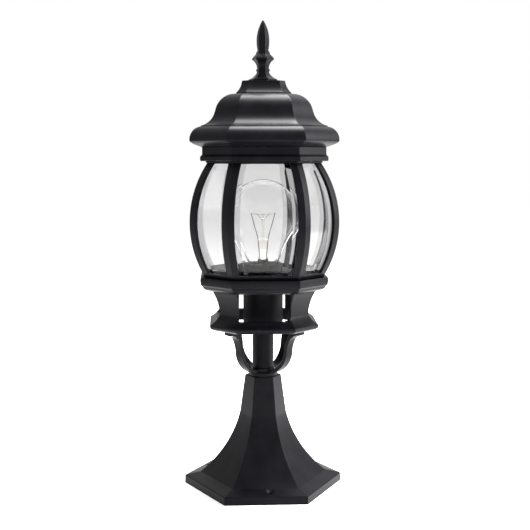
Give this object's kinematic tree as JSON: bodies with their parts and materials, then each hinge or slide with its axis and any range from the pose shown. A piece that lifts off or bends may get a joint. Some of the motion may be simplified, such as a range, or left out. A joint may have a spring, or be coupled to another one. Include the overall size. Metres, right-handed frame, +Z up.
{
  "type": "pedestal lantern lamp",
  "caption": "Pedestal lantern with an eight-sided curved glass cage, lift-off roof, screw-on finial and a screw-in bulb on a hollow flared foot.",
  "frame": {"origin": "centre of the plinth's underside, on the floor", "axes": "+Z up along the stem, front face towards -Y, +X to the right"},
  "size_m": [0.1734, 0.1558, 0.5014],
  "materials": {
    "black_casting": "satin black powder coat on cast aluminium",
    "black_steel": "satin black powder coat on steel",
    "zinc_steel": "zinc plated",
    "brass": "bare brass",
    "bulb_cap_metal": "nickel plated brass",
    "solder": "solder",
    "white_plastic": "moulded",
    "clear_pane": "clear, bevelled edges",
    "bulb_glass": "clear",
    "porcelain": "glazed",
    "black_glass": "glossy",
    "lead_wire": "drawn wire",
    "filament": "wound tungsten",
    "brown_wire": "insulated wire",
    "blue_wire": "insulated wire",
    "green_wire": "insulated wire"
  },
  "bodies": {
    "base": {"plinth": "black_casting", "pedestal": "black_casting", "yoke": "black_casting", "stem_tube": "black_steel", "threaded_tube": "zinc_steel", "terminal_strip": "zinc_steel", "base_washer": "zinc_steel", "base_nut": "zinc_steel", "terminal_block": "white_plastic", "terminal_screws": "brass", "earth_screw": "brass", "collar": "black_casting", "collar_straps": "black_casting", "collar_flange": "black_casting", "yoke_screws": "zinc_steel", "lamp_cup": "black_steel", "cup_washer": "zinc_steel", "cup_nut": "zinc_steel", "cage_base": "black_casting", "cage_screws": "zinc_steel", "floor_plate": "black_steel", "cage_rail": "black_casting", "cage_ribs": "black_casting", "cage_head": "black_casting", "wide_panes": "clear_pane", "corner_panes": "clear_pane", "pane_clips": "zinc_steel", "glass_retainer": "black_steel", "top_frame": "black_casting", "frame_screws": "zinc_steel", "bridge_bar": "zinc_steel", "bridge_screws": "zinc_steel", "heat_shield": "black_steel", "shield_screws": "black_steel", "roof_stud": "zinc_steel", "stud_nut": "zinc_steel", "holder_shroud": "black_steel", "holder_base": "porcelain", "lampholder": "porcelain", "holder_shell": "brass", "holder_contact": "brass", "live_wire": "brown_wire", "neutral_wire": "blue_wire", "earth_wire": "green_wire"},
    "roof": {"eave": "black_casting", "roof": "black_casting", "crown_cap": "black_casting"},
    "finial_carrier": {"finial_washer": "zinc_steel"},
    "finial": {"finial": "black_casting"},
    "bulb_carrier": {"bulb_contact": "solder"},
    "bulb": {"bulb_glass": "bulb_glass", "bulb_cap": "bulb_cap_metal", "bulb_insulator": "black_glass", "bulb_stem": "bulb_glass", "bulb_leads": "lead_wire", "filament": "filament"}
  },
  "joints": [
    {"name": "roof_lift", "type": "slide", "parent": "base", "child": "roof", "axis": [0, 0, 1], "range_m": [0, 0.06]},
    {"name": "finial_rise", "type": "slide", "parent": "roof", "child": "finial_carrier", "axis": [0, 0, 1], "range_m": [0, 0.012]},
    {"name": "finial_turn", "type": "hinge", "parent": "finial_carrier", "child": "finial", "pos_m": [0, 0, 0.46], "axis": [0, 0, 1], "range_deg": [0, 4320]},
    {"name": "bulb_rise", "type": "slide", "parent": "base", "child": "bulb_carrier", "axis": [0, 0, 1], "range_m": [0, 0.0164]},
    {"name": "bulb_turn", "type": "hinge", "parent": "bulb_carrier", "child": "bulb", "pos_m": [0, 0, 0.25], "axis": [0, 0, 1], "range_deg": [0, 1620]}
  ],
  "couplings": [
    {"joint": "finial_rise", "follows": "finial_turn", "m_per_rad": 0.00015915},
    {"joint": "bulb_rise", "follows": "bulb_turn", "m_per_rad": 0.00057757}
  ]
}
